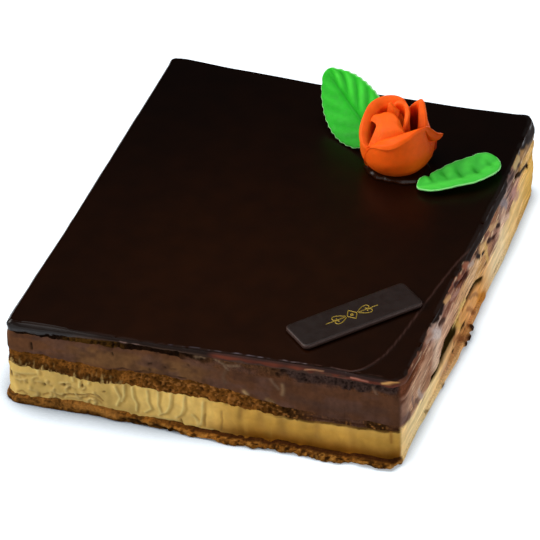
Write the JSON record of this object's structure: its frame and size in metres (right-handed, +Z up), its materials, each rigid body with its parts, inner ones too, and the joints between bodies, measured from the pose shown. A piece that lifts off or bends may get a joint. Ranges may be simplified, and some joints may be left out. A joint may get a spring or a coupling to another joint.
{
  "type": "opera cake",
  "caption": "Rectangular layered opera cake: sponge, coffee buttercream and ganache under a dark mirror glaze, with a chocolate plaque, a sugar-paste rose and leaves.",
  "frame": {"origin": "middle of the flat underside, on the surface the cake rests on", "axes": "+Z up out of the glazed top, +Y from the front cut edge to the back along the longer side, +X to the right along the front edge"},
  "size_m": [0.1655, 0.1999, 0.065],
  "materials": {
    "sponge": "matte open crumb",
    "sponge_soaked": "matte damp crumb",
    "buttercream": "soft satin",
    "ganache": "matte",
    "glaze": "mirror gloss",
    "dark_chocolate": "satin",
    "gold_ink": "satin",
    "rose_paste": "soft satin",
    "leaf_paste": "soft satin"
  },
  "bodies": {
    "root": {"sponge_bottom": "sponge", "coffee_buttercream": "buttercream", "sponge_middle": "sponge_soaked", "chocolate_ganache": "ganache", "sponge_top": "sponge_soaked", "chocolate_glaze": "glaze", "chocolate_plaque": "dark_chocolate", "rose_heart": "rose_paste", "rose_petal_cup": "rose_paste", "rose_petal_left": "rose_paste", "rose_petal_back": "rose_paste", "rose_petal_front": "rose_paste", "rose_petal_bud": "rose_paste", "leaf_large": "leaf_paste", "leaf_small": "leaf_paste"}
  },
  "joints": []
}
